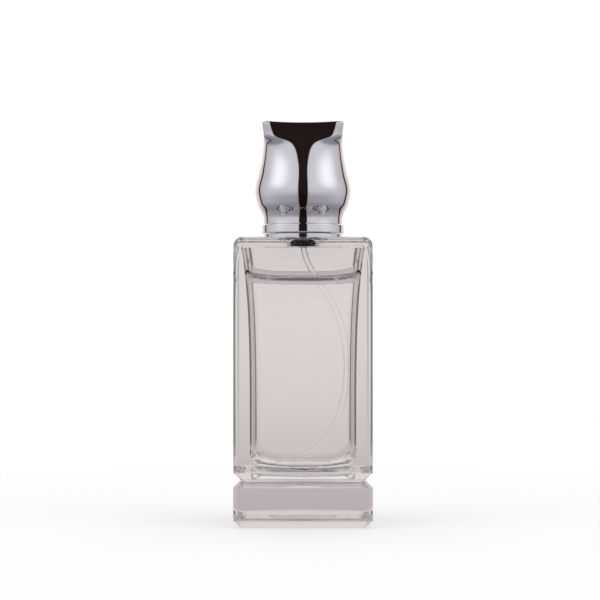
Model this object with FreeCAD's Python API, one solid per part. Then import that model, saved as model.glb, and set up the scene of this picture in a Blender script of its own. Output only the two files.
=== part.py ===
import FreeCAD, Part
import math
import os

from FreeCAD import Vector

# Aftershave spray bottle, in millimetres. +Z is up, the front face looks along -Y,
# and the origin is the middle of the base, on the surface that the bottle stands on.

# Glass, outside
body_width = 50.0
body_depth = 50.0
shoulder_height = 104.25
upright_edge_radius = 1.7
shoulder_edge_radius = 3.0
base_chamfer = 2.6
plinth_height = 14.5
groove_depth = 2.6
push_up_depth = 0.4
push_up_radius = 17.0

# Glass, inside: a heavy floor with a bowl in it, and walls that thicken from the shoulder downwards
floor_thickness = 20.75
roof_thickness = 3.4
wall_at_roof = 2.7
wall_at_floor = 5.9
wall_taper_power = 4.4
wall_steps = 8
cavity_corner_radius = 3.0
cavity_roof_radius = 0.7
bowl_rise = 7.0
bowl_fullness = 5.5
bowl_steps = 10
bowl_roundness = 0.98

# Glass, neck finish for a 15 mm crimped pump
neck_height = 12.0
neck_radius = 6.6
neck_root = 1.0
bead_radius = 7.5
bead_height = 3.6
lip_bevel = 0.5
bore_radius = 4.7
bore_flare = 3.0

# Liquid
fill_height = 87.8
liquid_clearance = 0.05

# Crimped closure, from the glass lip upwards
gasket_thickness = 0.9
gasket_bore_radius = 4.9
gasket_edge_gap = 0.3
housing_flange_thickness = 0.9
turret_flange_thickness = 0.7
ferrule_wall = 0.4
ferrule_bevel = 0.25
ferrule_clearance = 0.1
crimp_reach = 0.7
crimp_drop = 0.1

# Pump
stroke = 3.5
piston_lag = 0.45
sliding_clearance = 0.05
stop_clearance = 0.05
barrel_radius = 3.3
barrel_wall = 0.9
barrel_floor = 0.5
tail_radius = 1.75
tail_draft = 2.3
turret_plug_length = 2.0
turret_tower_radius = 3.9
turret_tower_height = 1.1
tower_clearance = 0.2
stem_gasket_thickness = 0.6
stem_radius = 1.7
stem_bore_radius = 0.65
stem_collar_radius = 2.4
stem_collar_thickness = 0.3
stem_head_radius = 2.5
stem_head_thickness = 0.8
stem_port_radius = 0.3
spigot_radius = 1.2
spigot_length = 1.0
spigot_tip_chamfer = 0.3
piston_length = 2.05
piston_waist_radius = 2.9
piston_lip_height = 0.5
piston_pocket_radius = 2.5
piston_pocket_depth = 1.15
return_wire_radius = 0.175
return_coil_radius = 1.75
return_turns = 4.5
piston_wire_radius = 0.125
piston_coil_radius = 2.12
piston_turns = 3.5
wire_sides = 6
ball_radius = 1.0
ball_lift = 0.7
ball_side_clearance = 0.25
ball_stop_radius = 0.85
seat_gap = 0.02
inlet_radius = 0.55
inlet_length = 0.3

# Dip tube
tube_radius = 0.8
tube_bore_radius = 0.5
tube_socket_depth = 2.8
tube_socket_clearance = 0.02
tube_exit_drop = 2.4
tube_wall_gap = 3.1
tube_floor_gap = 0.3
tube_tip_share = 0.62
tube_bend_share = 0.45

# Actuator
actuator_radius = 6.5
actuator_height = 10.2
actuator_skin = 0.4
actuator_fit = 0.05
actuator_edge_radius = 0.9
finger_dish_depth = 0.7
finger_dish_radius = 4.8
travel_clearance = 0.4
recess_radius = 4.6
stem_socket_depth = 3.0
stem_fit = 0.03
nozzle_rise = 1.5
spray_channel_radius = 0.5
nozzle_radius = 2.0
nozzle_length = 2.2
nozzle_setback = 0.15
nozzle_window_gap = 0.3
spray_mouth_radius = 0.7
spray_mouth_depth = 0.5
spray_hole_radius = 0.2
swirl_radius = 1.0
swirl_depth = 0.5

# Collar round the neck
collar_flange_radius = 14.6
collar_flange_thickness = 1.85
collar_bevel = 0.3
collar_radius = 10.0
collar_wall = 0.7
collar_fit = 0.05
collar_lip_thickness = 0.6
collar_lip_clearance = 0.5
insert_lip_thickness = 0.6
insert_snap_height = 0.8
insert_snap_reach = 0.5
insert_slot_count = 6
insert_slot_width = 1.2

# Tulip cap
cap_height = 40.7
cap_seat_gap = 0.1
foot_radius = 15.3
foot_height = 3.4
foot_edge_radius = 0.5
tulip_neck_half = 14.7
tulip_bulge_half = 17.9
tulip_waist_half = 14.6
tulip_top_half = 15.0
tulip_top_edge = 0.8
top_squareness = 14.0
top_dish_radius = 170.0
cap_bore_radius = 12.6
cap_bore_top_radius = 11.9
cap_crown = 4.0

# Liner inside the cap
liner_wall = 1.1
liner_crown = 1.2
liner_crown_gap = 0.5
liner_clearance = 0.25
liner_grip_clearance = 0.06
liner_grip_height = 1.0
liner_shell_fit = 0.05
liner_foot_recess = 0.4
liner_foot_height = 1.2
liner_rib_count = 8
liner_rib_width = 1.4

section_points = 40
over = 1.0

# Heights of the closure, stacked on the glass
groove_middle = plinth_height + groove_depth
groove_top = groove_middle + groove_depth
roof_height = shoulder_height - roof_thickness
lip_height = shoulder_height + neck_height
bead_bottom = lip_height - bead_height
gasket_top = lip_height + gasket_thickness
housing_top = gasket_top + housing_flange_thickness
turret_top = housing_top + turret_flange_thickness
ferrule_top = turret_top + ferrule_wall
tower_top = ferrule_top + turret_tower_height
plug_bottom = housing_top - turret_plug_length
stem_gasket_bottom = plug_bottom - stem_gasket_thickness

# Heights inside the pump, worked down from the stem gasket
stem_collar_top = stem_gasket_bottom - stop_clearance
stem_collar_bottom = stem_collar_top - stem_collar_thickness
piston_top = stem_collar_bottom - piston_lag - stop_clearance
piston_bottom = piston_top - piston_length
piston_pocket_floor = piston_top - piston_pocket_depth
stem_head_top = piston_bottom - seat_gap
stem_head_bottom = stem_head_top - stem_head_thickness
return_solid_length = 2 * return_wire_radius * (return_turns + 1)
barrel_floor_top = stem_head_bottom - stroke - return_solid_length - stop_clearance
ball_roof = barrel_floor_top - barrel_floor
ball_chamber_radius = ball_radius + ball_side_clearance
ball_middle = ball_roof - stop_clearance - ball_lift - ball_radius
seat_apex = ball_middle - seat_gap - math.sqrt(2) * ball_radius
seat_bottom = seat_apex + inlet_radius
seat_top = seat_apex + ball_chamber_radius
tube_socket_top = seat_bottom - inlet_length
tail_bottom = tube_socket_top - tube_socket_depth
barrel_outer_radius = barrel_radius + barrel_wall

# Heights of the actuator, clear of the closure at full stroke
skirt_bottom = ferrule_top + stroke + travel_clearance
recess_top = tower_top + stroke + travel_clearance
stem_top = recess_top + stem_socket_depth - stop_clearance
nozzle_height = recess_top + stem_socket_depth + nozzle_rise
actuator_top = skirt_bottom + actuator_height
core_radius = actuator_radius - actuator_skin - actuator_fit
core_top = actuator_top - actuator_skin - actuator_fit

# Radii and heights of the collar and the cap
ferrule_inner_radius = bead_radius + ferrule_clearance
ferrule_radius = ferrule_inner_radius + ferrule_wall
crimp_top = bead_bottom - (bead_radius - neck_radius) - crimp_drop
crimp_bottom = crimp_top - ferrule_wall
collar_inner_radius = collar_radius - collar_wall
collar_top = skirt_bottom + travel_clearance
collar_flange_top = shoulder_height + collar_flange_thickness
collar_mouth_radius = actuator_radius + collar_lip_clearance
cap_bottom = collar_flange_top + cap_seat_gap
cap_top = cap_bottom + cap_height
cap_bore_top = cap_top - cap_crown
liner_radius = collar_radius + liner_clearance
liner_top = cap_bore_top - liner_crown_gap
liner_bottom = cap_bottom + liner_foot_recess


def lathe(*outline):
    """Turn a closed outline of (radius, height) points about Z."""
    points = [Vector(radius, 0, height) for radius, height in outline]
    face = Part.Face(Part.makePolygon(points + points[:1]))
    return face.revolve(Vector(), Vector(0, 0, 1), 360)


def tube(inner, outer, bottom, top):
    return lathe((inner, bottom), (outer, bottom), (outer, top), (inner, top))


def disc(radius, bottom, top):
    return Part.makeCylinder(radius, top - bottom, Vector(0, 0, bottom))


def rod_along_y(radius, start, end, height):
    """A round rod from y = start to y = end, at one height."""
    return Part.makeCylinder(radius, end - start, Vector(0, start, height), Vector(0, 1, 0))


def edges_at(shape, height, least=0.0):
    """The edges that lie wholly at one height and reach at least that far from the axis."""
    found = []
    for edge in shape.Edges:
        box = edge.BoundBox
        reach = max(box.XMax, -box.XMin)
        if abs(box.ZMin - height) < 0.01 and abs(box.ZMax - height) < 0.01 and reach > least:
            found.append(edge)
    return found


def side_view(half):
    """Half-widths up one side of the glass: chamfer, plinth, V groove and wall."""
    right = [
        (half - base_chamfer, 0),
        (half, base_chamfer),
        (half, plinth_height),
        (half - groove_depth, groove_middle),
        (half, groove_top),
        (half, shoulder_height),
    ]
    return right + [(-across, height) for across, height in reversed(right)]


def rounded_rectangle(half_x, half_y, radius, height):
    """A wire of four sides and four corner arcs."""
    edges = []
    slant = radius * (1 - math.sqrt(0.5))
    turns = [(1, -1), (1, 1), (-1, 1), (-1, -1)]
    for index, (sx, sy) in enumerate(turns):
        across = Vector(sx * (half_x - radius), sy * half_y, height)
        upright = Vector(sx * half_x, sy * (half_y - radius), height)
        middle = Vector(sx * (half_x - slant), sy * (half_y - slant), height)
        start, end = (across, upright) if sx * sy < 0 else (upright, across)
        edges.append(Part.Arc(start, middle, end).toShape())
        next_sx, next_sy = turns[(index + 1) % 4]
        if sx * sy < 0:
            far = Vector(next_sx * half_x, next_sy * (half_y - radius), height)
        else:
            far = Vector(next_sx * (half_x - radius), next_sy * half_y, height)
        edges.append(Part.LineSegment(end, far).toShape())
    return Part.Wire(edges)


def bowl_height(share):
    """How far the floor has risen at a share of the way from its middle to the wall."""
    return bowl_rise * (1 - (1 - share**bowl_fullness) ** (1 / bowl_fullness))


def cavity(clearance):
    """The space inside the glass, or the liquid's share of it, shrunk by a clearance."""
    stations = []
    for step in range(1, bowl_steps + 1):
        share = math.sin(math.pi / 2 * step / bowl_steps) ** (2 / bowl_fullness)
        height = bowl_height(share)
        stations.append((floor_thickness + height, share, math.sqrt(height / bowl_rise)))
    wall_start = floor_thickness + bowl_rise
    for step in range(1, wall_steps + 1):
        stations.append((wall_start + (roof_height - wall_start) * step / wall_steps, 1, 1))
    wires = []
    for height, share, square in stations:
        climb = (height - floor_thickness) / (roof_height - floor_thickness)
        wall = wall_at_floor - (wall_at_floor - wall_at_roof) * climb**wall_taper_power
        half_x = share * (body_width / 2 - wall - clearance)
        half_y = share * (body_depth / 2 - wall - clearance)
        corner = square * cavity_corner_radius + (1 - square) * bowl_roundness * min(half_x, half_y)
        wires.append(rounded_rectangle(half_x, half_y, corner, height + clearance * (1 - square)))
    space = Part.makeLoft(wires, True, True)
    return space.makeFillet(cavity_roof_radius, edges_at(space, roof_height))


def glass_bottle():
    front = [Vector(across, -body_depth / 2, height) for across, height in side_view(body_width / 2)]
    side = [Vector(-body_width / 2, across, height) for across, height in side_view(body_depth / 2)]
    along_y = Part.Face(Part.makePolygon(front + front[:1])).extrude(Vector(0, body_depth, 0))
    along_x = Part.Face(Part.makePolygon(side + side[:1])).extrude(Vector(body_width, 0, 0))
    outside = along_y.common(along_x)
    uprights = []
    for edge in outside.Edges:
        low, high = sorted(vertex.Point.z for vertex in edge.Vertexes)
        on_wall = abs(low - groove_top) < 0.01 or abs(low - base_chamfer) < 0.01
        if on_wall and high - low > groove_depth:
            uprights.append(edge)
    outside = outside.makeFillet(upright_edge_radius, uprights)
    outside = outside.makeFillet(shoulder_edge_radius, edges_at(outside, shoulder_height))

    neck = lathe(
        (0, shoulder_height - over),
        (neck_radius + neck_root, shoulder_height - over),
        (neck_radius + neck_root, shoulder_height),
        (neck_radius, shoulder_height + neck_root),
        (neck_radius, bead_bottom - (bead_radius - neck_radius)),
        (bead_radius, bead_bottom),
        (bead_radius, lip_height - lip_bevel),
        (bead_radius - lip_bevel, lip_height),
        (0, lip_height),
    )
    blank = outside.fuse(neck)

    flare_start = roof_height + bore_flare
    bend = bore_flare * (1 - math.sqrt(0.5))
    flare_edge = bore_radius + bore_flare
    profile = [
        Part.LineSegment(Vector(0, 0, roof_height - over), Vector(flare_edge, 0, roof_height - over)),
        Part.LineSegment(Vector(flare_edge, 0, roof_height - over), Vector(flare_edge, 0, roof_height)),
        Part.Arc(
            Vector(flare_edge, 0, roof_height),
            Vector(bore_radius + bend, 0, roof_height + bend),
            Vector(bore_radius, 0, flare_start),
        ),
        Part.LineSegment(Vector(bore_radius, 0, flare_start), Vector(bore_radius, 0, lip_height + over)),
        Part.LineSegment(Vector(bore_radius, 0, lip_height + over), Vector(0, 0, lip_height + over)),
        Part.LineSegment(Vector(0, 0, lip_height + over), Vector(0, 0, roof_height - over)),
    ]
    outline = Part.Wire([curve.toShape() for curve in profile])
    bore = Part.Face(outline).revolve(Vector(), Vector(0, 0, 1), 360)

    ball = (push_up_radius**2 + push_up_depth**2) / (2 * push_up_depth)
    push_up = Part.makeSphere(ball, Vector(0, 0, push_up_depth - ball))
    return blank.cut(cavity(0).fuse(bore)).cut(push_up).removeSplitter()


def tube_route():
    """Corners of the dip tube's curl, from its socket down to the far side of the floor."""
    inside = body_width / 2 - wall_at_floor
    reach = inside - tube_wall_gap
    low = floor_thickness + bowl_height(tube_tip_share * reach / inside) + tube_radius + tube_floor_gap
    exit_height = tail_bottom - tube_exit_drop
    drop = exit_height - low
    shape = [
        (0.00, 1.00),
        (0.24, 0.90),
        (0.62, 0.80),
        (0.92, 0.66),
        (1.03, 0.48),
        (0.94, 0.28),
        (0.56, 0.12),
        (0.04, 0.03),
        (-tube_tip_share, 0.00),
    ]
    points = [Vector(0, 0, tube_socket_top - stop_clearance)]
    return points + [Vector(x * reach, 0, low + z * drop) for x, z in shape]


def tube_path():
    """Straight runs joined by tangent arcs, each as large as its two runs allow."""
    points = tube_route()
    edges = []
    start = points[0]
    for before, corner, after in zip(points, points[1:], points[2:]):
        into = (before - corner).normalize()
        out = (after - corner).normalize()
        run = tube_bend_share * min(before.distanceToPoint(corner), after.distanceToPoint(corner))
        half_turn = (math.pi - into.getAngle(out)) / 2
        radius = run / math.tan(half_turn)
        toward_centre = (into + out).normalize()
        centre = corner + toward_centre * (radius / math.cos(half_turn))
        first = corner + into * run
        last = corner + out * run
        edges.append(Part.LineSegment(start, first).toShape())
        edges.append(Part.Arc(first, centre - toward_centre * radius, last).toShape())
        start = last
    edges.append(Part.LineSegment(start, points[-1]).toShape())
    return Part.Wire(edges)


def tube_solid(radius):
    """A solid rod of one radius along the dip tube's path."""
    path = tube_path()
    start = path.Edges[0].Vertexes[0].Point
    ring = Part.Wire(Part.makeCircle(radius, start, Vector(0, 0, -1)))
    return path.makePipeShell([ring], True, False)


def dip_tube():
    return tube_solid(tube_radius).cut(tube_solid(tube_bore_radius))


def aftershave_fill():
    above = Part.makeBox(body_width, body_depth, shoulder_height)
    above.translate(Vector(-body_width / 2, -body_depth / 2, fill_height))
    return cavity(liquid_clearance).cut(above).cut(tube_solid(tube_radius + liquid_clearance))


def neck_gasket():
    return tube(gasket_bore_radius, bead_radius - gasket_edge_gap, lip_height, gasket_top)


def crimp_ferrule():
    hole = turret_tower_radius + tower_clearance
    hem = ferrule_inner_radius - crimp_reach
    shell = lathe(
        (hole, turret_top),
        (ferrule_inner_radius, turret_top),
        (ferrule_inner_radius, crimp_top),
        (hem, crimp_top),
        (hem, crimp_bottom),
        (ferrule_radius, crimp_bottom),
        (ferrule_radius, ferrule_top),
        (hole, ferrule_top),
    )
    rims = edges_at(shell, ferrule_top, neck_radius) + edges_at(shell, crimp_bottom, bead_radius)
    return shell.makeChamfer(ferrule_bevel, rims)


def pump_housing():
    socket = tube_radius + tube_socket_clearance
    flange = bead_radius - gasket_edge_gap
    taper_top = barrel_floor_top - barrel_wall
    return lathe(
        (socket, tail_bottom),
        (tail_radius, tail_bottom),
        (tail_radius, taper_top - tail_draft),
        (barrel_outer_radius, taper_top),
        (barrel_outer_radius, gasket_top),
        (flange, gasket_top),
        (flange, housing_top),
        (barrel_radius, housing_top),
        (barrel_radius, barrel_floor_top),
        (ball_stop_radius, barrel_floor_top),
        (ball_stop_radius, ball_roof),
        (ball_chamber_radius, ball_roof),
        (ball_chamber_radius, seat_top),
        (inlet_radius, seat_bottom),
        (inlet_radius, tube_socket_top),
        (socket, tube_socket_top),
    )


def pump_turret():
    hole = stem_radius + sliding_clearance
    return lathe(
        (hole, plug_bottom),
        (barrel_radius - sliding_clearance, plug_bottom),
        (barrel_radius - sliding_clearance, housing_top),
        (bead_radius - gasket_edge_gap, housing_top),
        (bead_radius - gasket_edge_gap, turret_top),
        (turret_tower_radius, turret_top),
        (turret_tower_radius, tower_top),
        (hole, tower_top),
    )


def stem_gasket():
    hole = stem_radius + sliding_clearance
    return tube(hole, barrel_radius - sliding_clearance, stem_gasket_bottom, plug_bottom)


def pump_stem():
    port_height = stem_head_top + stem_port_radius + stop_clearance
    bore_end = stem_head_top
    stem = lathe(
        (0, stem_head_bottom - spigot_length),
        (spigot_radius - spigot_tip_chamfer, stem_head_bottom - spigot_length),
        (spigot_radius, stem_head_bottom - spigot_length + spigot_tip_chamfer),
        (spigot_radius, stem_head_bottom),
        (stem_head_radius, stem_head_bottom),
        (stem_head_radius, stem_head_top),
        (stem_radius, stem_head_top),
        (stem_radius, stem_collar_bottom),
        (stem_collar_radius, stem_collar_bottom),
        (stem_collar_radius, stem_collar_top),
        (stem_radius, stem_collar_top),
        (stem_radius, stem_top),
        (stem_bore_radius, stem_top),
        (stem_bore_radius, bore_end),
        (0, bore_end),
    )
    return stem.cut(rod_along_y(stem_port_radius, -stem_radius - over, stem_radius + over, port_height))


def pump_piston():
    bore = stem_radius + sliding_clearance
    lip = barrel_radius - sliding_clearance
    ramp = lip - piston_waist_radius
    return lathe(
        (bore, piston_bottom),
        (lip, piston_bottom),
        (lip, piston_bottom + piston_lip_height),
        (piston_waist_radius, piston_bottom + piston_lip_height + ramp),
        (piston_waist_radius, piston_top - piston_lip_height - ramp),
        (lip, piston_top - piston_lip_height),
        (lip, piston_top),
        (piston_pocket_radius, piston_top),
        (piston_pocket_radius, piston_pocket_floor),
        (bore, piston_pocket_floor),
    )


def coil_spring(coil_radius, wire_radius, turns, bottom, top):
    """Wire wound between two seats, which its end turns touch."""
    low = bottom + wire_radius
    height = top - bottom - 2 * wire_radius
    helix = Part.makeHelix(height / turns, height, coil_radius)
    helix.translate(Vector(0, 0, low))
    corners = []
    for index in range(wire_sides + 1):
        angle = 2 * math.pi * index / wire_sides
        across = coil_radius + wire_radius * math.cos(angle)
        corners.append(Vector(across, 0, low + wire_radius * math.sin(angle)))
    return Part.Wire(helix.Edges).makePipeShell([Part.makePolygon(corners)], True, True)


def return_spring():
    bottom = barrel_floor_top + stop_clearance
    top = stem_head_bottom - stop_clearance
    return coil_spring(return_coil_radius, return_wire_radius, return_turns, bottom, top)


def piston_spring():
    bottom = piston_pocket_floor + stop_clearance
    top = stem_collar_bottom - stop_clearance
    return coil_spring(piston_coil_radius, piston_wire_radius, piston_turns, bottom, top)


def inlet_ball():
    return Part.makeSphere(ball_radius, Vector(0, 0, ball_middle))


def nozzle_pocket_end():
    return -actuator_radius + nozzle_setback + nozzle_length


def dished(shape, top, reach):
    """Cut a shallow round dish of a given reach into a flat top."""
    ball = (reach**2 + finger_dish_depth**2) / (2 * finger_dish_depth)
    return shape.cut(Part.makeSphere(ball, Vector(0, 0, top - finger_dish_depth + ball)))


def actuator_button():
    core = disc(core_radius, skirt_bottom, core_top)
    core = core.makeChamfer(actuator_edge_radius - actuator_skin, edges_at(core, core_top))
    core = dished(core, core_top, finger_dish_radius)
    core = core.cut(disc(recess_radius, skirt_bottom - over, recess_top))
    core = core.cut(disc(stem_radius + stem_fit, recess_top - over, recess_top + stem_socket_depth))
    core = core.cut(disc(stem_bore_radius, recess_top, nozzle_height + stem_bore_radius))
    core = core.cut(rod_along_y(spray_channel_radius, nozzle_pocket_end() - over, 0, nozzle_height))
    pocket_radius = nozzle_radius + actuator_fit
    return core.cut(rod_along_y(pocket_radius, -actuator_radius - over, nozzle_pocket_end(), nozzle_height))


def actuator_sleeve():
    cup = disc(actuator_radius, skirt_bottom, actuator_top)
    cup = cup.makeFillet(actuator_edge_radius, edges_at(cup, actuator_top))
    cup = dished(cup, actuator_top, finger_dish_radius)
    inside = actuator_radius - actuator_skin
    inside_top = actuator_top - actuator_skin
    hollow = disc(inside, skirt_bottom - over, inside_top)
    hollow = hollow.makeChamfer(actuator_edge_radius - actuator_skin, edges_at(hollow, inside_top))
    hollow = dished(hollow, inside_top, finger_dish_radius)
    window = rod_along_y(nozzle_radius + nozzle_window_gap, -actuator_radius - over, 0, nozzle_height)
    return cup.cut(hollow).cut(window)


def nozzle_insert():
    back = nozzle_pocket_end()
    front = back - nozzle_length
    face = rod_along_y(nozzle_radius, front, back, nozzle_height)
    mouth = Part.makeCone(
        spray_mouth_radius,
        spray_hole_radius,
        spray_mouth_depth,
        Vector(0, front, nozzle_height),
        Vector(0, 1, 0),
    )
    hole = rod_along_y(spray_hole_radius, front, back + over, nozzle_height)
    swirl = rod_along_y(swirl_radius, back - swirl_depth, back + over, nozzle_height)
    return face.cut(mouth).cut(hole).cut(swirl)


def collar_shell():
    shell = lathe(
        (collar_inner_radius, shoulder_height),
        (collar_flange_radius, shoulder_height),
        (collar_flange_radius, collar_flange_top),
        (collar_radius, collar_flange_top),
        (collar_radius, collar_top),
        (collar_mouth_radius, collar_top),
        (collar_mouth_radius, collar_top - collar_lip_thickness),
        (collar_inner_radius, collar_top - collar_lip_thickness),
    )
    rims = edges_at(shell, collar_flange_top, collar_radius + over)
    rims += edges_at(shell, shoulder_height, collar_radius + over)
    rims += edges_at(shell, collar_top)
    return shell.makeChamfer(collar_bevel, rims)


def collar_insert():
    inner = ferrule_radius + collar_fit
    outer = collar_inner_radius - collar_fit
    snap = inner - insert_snap_reach
    snap_top = crimp_bottom - stop_clearance
    ring = lathe(
        (inner, shoulder_height),
        (outer, shoulder_height),
        (outer, ferrule_top + insert_lip_thickness),
        (collar_mouth_radius, ferrule_top + insert_lip_thickness),
        (collar_mouth_radius, ferrule_top),
        (inner, ferrule_top),
        (inner, snap_top),
        (snap, snap_top),
        (inner, snap_top - insert_snap_height),
    )
    slot_height = snap_top - shoulder_height
    for index in range(insert_slot_count):
        slot = Part.makeBox(outer + over, insert_slot_width, slot_height + over)
        slot.translate(Vector(0, -insert_slot_width / 2, shoulder_height - over))
        slot.rotate(Vector(), Vector(0, 0, 1), 360 * index / insert_slot_count)
        ring = ring.cut(slot)
    return ring


def tulip_section(half, squareness, height):
    """A closed curve between a circle (squareness 2) and a square with rounded corners."""
    points = []
    for index in range(section_points):
        angle = 2 * math.pi * index / section_points
        spread = abs(math.cos(angle)) ** squareness + abs(math.sin(angle)) ** squareness
        radius = half / spread ** (1 / squareness)
        points.append(Vector(radius * math.cos(angle), radius * math.sin(angle), height))
    stops = [index / section_points for index in range(section_points + 1)]
    curve = Part.BSplineCurve()
    curve.interpolate(Points=points, PeriodicFlag=True, Parameters=stops)
    return Part.Wire(curve.toShape())


def tulip():
    """Round neck and bulge, drawn in to a waist and opening to a square top that is dished."""
    swell = tulip_bulge_half - tulip_neck_half
    taper = tulip_bulge_half - tulip_waist_half
    flare = tulip_top_half - tulip_waist_half
    square = top_squareness - 2
    stations = [
        (-0.04, tulip_neck_half, 2),
        (0.05, tulip_neck_half, 2),
        (0.11, tulip_neck_half + 0.19 * swell, 2),
        (0.20, tulip_neck_half + 0.69 * swell, 2),
        (0.345, tulip_bulge_half, 2),
        (0.55, tulip_waist_half + 0.55 * taper, 2 + 0.0025 * square),
        (0.64, tulip_waist_half + 0.32 * taper, 2 + 0.0125 * square),
        (0.735, tulip_waist_half + 0.15 * taper, 2 + 0.033 * square),
        (0.80, tulip_waist_half + 0.06 * taper, 2 + 0.075 * square),
        (0.835, tulip_waist_half + 0.03 * taper, 2 + 0.18 * square),
        (0.86, tulip_waist_half, 2 + 0.46 * square),
        (0.885, tulip_waist_half, 2 + 0.63 * square),
        (0.94, tulip_waist_half + 0.35 * flare, 2 + 0.80 * square),
        (1.00, tulip_top_half, top_squareness),
        (1.03, tulip_top_half, top_squareness),
    ]
    base = cap_bottom + foot_height
    rise = cap_height - foot_height - tulip_top_edge
    wires = [tulip_section(half, power, base + share * rise) for share, half, power in stations]
    body = Part.makeLoft(wires, True, False)
    corner = tulip_top_half * 2 ** (0.5 - 1 / top_squareness)
    middle = cap_top + math.sqrt(top_dish_radius**2 - corner**2)
    body = body.cut(Part.makeSphere(top_dish_radius, Vector(0, 0, middle)))
    rim = [edge for edge in body.Edges if edge.BoundBox.ZMin > base + rise - tulip_top_edge]
    return body.makeFillet(tulip_top_edge, rim)


def cap_bore(clearance, bottom, top):
    """The drafted round space inside the cap, shrunk by a clearance."""
    draft = (cap_bore_radius - cap_bore_top_radius) / (cap_bore_top - cap_bottom)
    low = cap_bore_radius - draft * (bottom - cap_bottom) - clearance
    high = cap_bore_radius - draft * (top - cap_bottom) - clearance
    return lathe((0, bottom), (low, bottom), (high, top), (0, top))


def cap_shell():
    foot = disc(foot_radius, cap_bottom, cap_bottom + foot_height)
    foot = foot.makeFillet(foot_edge_radius, foot.Edges[0:1] + foot.Edges[2:3])
    return foot.fuse(tulip()).cut(cap_bore(0, cap_bottom - over, cap_bore_top))


def cap_liner():
    outer = liner_radius + liner_wall
    body = cap_bore(liner_shell_fit, liner_bottom, liner_top)
    pocket = tube(outer, cap_bore_radius + over, liner_bottom + liner_foot_height, liner_top + over)
    for index in range(liner_rib_count):
        rib = Part.makeBox(cap_bore_radius + over, liner_rib_width, cap_height)
        rib.translate(Vector(0, -liner_rib_width / 2, liner_bottom))
        rib.rotate(Vector(), Vector(0, 0, 1), 360 * index / liner_rib_count)
        pocket = pocket.cut(rib)
    grip = collar_radius + liner_grip_clearance
    grip_bottom = liner_bottom + liner_foot_height
    ramp = liner_radius - grip
    hollow = lathe(
        (0, liner_bottom - over),
        (liner_radius, liner_bottom - over),
        (liner_radius, grip_bottom),
        (grip, grip_bottom + ramp),
        (grip, grip_bottom + ramp + liner_grip_height),
        (liner_radius, grip_bottom + 2 * ramp + liner_grip_height),
        (liner_radius, liner_top - liner_crown),
        (0, liner_top - liner_crown),
    )
    return body.cut(pocket).cut(hollow)


pieces = [
    glass_bottle,
    aftershave_fill,
    dip_tube,
    neck_gasket,
    crimp_ferrule,
    pump_housing,
    pump_turret,
    stem_gasket,
    pump_stem,
    pump_piston,
    piston_spring,
    return_spring,
    inlet_ball,
    collar_shell,
    collar_insert,
    actuator_button,
    actuator_sleeve,
    nozzle_insert,
    cap_shell,
    cap_liner,
]

os.makedirs("parts", exist_ok=True)
for piece in pieces:
    shape = piece()
    solids = shape.Solids
    print(piece.__name__, len(solids), shape.isValid(), round(shape.Volume, 2))
    solid = solids[0] if len(solids) == 1 else Part.makeCompound(solids)
    solid.exportStep(f"parts/{piece.__name__}.step")
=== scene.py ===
import math

import bmesh
import bpy
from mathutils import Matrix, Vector


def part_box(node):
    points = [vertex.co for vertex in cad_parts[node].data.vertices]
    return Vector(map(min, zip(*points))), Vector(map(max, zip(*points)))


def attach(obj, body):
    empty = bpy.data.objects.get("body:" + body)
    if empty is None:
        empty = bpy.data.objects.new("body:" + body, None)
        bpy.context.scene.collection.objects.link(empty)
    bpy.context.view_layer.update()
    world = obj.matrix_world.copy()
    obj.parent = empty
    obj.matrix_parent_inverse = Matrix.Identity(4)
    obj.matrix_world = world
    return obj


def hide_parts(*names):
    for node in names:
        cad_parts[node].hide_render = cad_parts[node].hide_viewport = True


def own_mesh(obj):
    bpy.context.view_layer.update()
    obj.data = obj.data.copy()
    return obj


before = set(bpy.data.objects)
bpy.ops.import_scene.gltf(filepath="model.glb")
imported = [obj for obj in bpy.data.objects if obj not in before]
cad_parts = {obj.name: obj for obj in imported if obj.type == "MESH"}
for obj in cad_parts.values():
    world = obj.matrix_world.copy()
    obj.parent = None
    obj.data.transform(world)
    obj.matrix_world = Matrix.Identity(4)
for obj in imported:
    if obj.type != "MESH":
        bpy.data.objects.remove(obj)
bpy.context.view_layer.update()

scene = bpy.context.scene
scene.view_settings.view_transform = "Standard"
glassBounces = 40  # the light crosses, and turns back at, many faces of glass
scene.cycles.max_bounces = glassBounces
scene.cycles.transmission_bounces = glassBounces
scene.cycles.glossy_bounces = glassBounces
mm = 0.001

# heights and reaches that several pieces share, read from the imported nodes
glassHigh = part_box("glass_bottle")[1]
collarLow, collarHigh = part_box("collar_shell")
capLow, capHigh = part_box("cap_shell")
shoulderZ = collarLow.z
lipZ = glassHigh.z
bodyHalf = glassHigh.x


def linear(hexColour):
    parts = [int(hexColour[spot:spot + 2], 16) / 255 for spot in (1, 3, 5)]
    return [
        part / 12.92 if part <= 0.04045 else ((part + 0.055) / 1.055) ** 2.4 for part in parts
    ] + [1.0]


def perMetre(sizeMm):
    # texture scale at which one feature is about this many millimetres wide
    return 1 / (sizeMm * mm)


def addNode(tree, kind, inputs=None, **settings):
    node = tree.nodes.new(kind)
    for key, value in settings.items():
        setattr(node, key, value)
    for key, value in (inputs or {}).items():
        if isinstance(value, bpy.types.NodeSocket):
            tree.links.new(value, node.inputs[key])
        else:
            node.inputs[key].default_value = value
    return node


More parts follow.
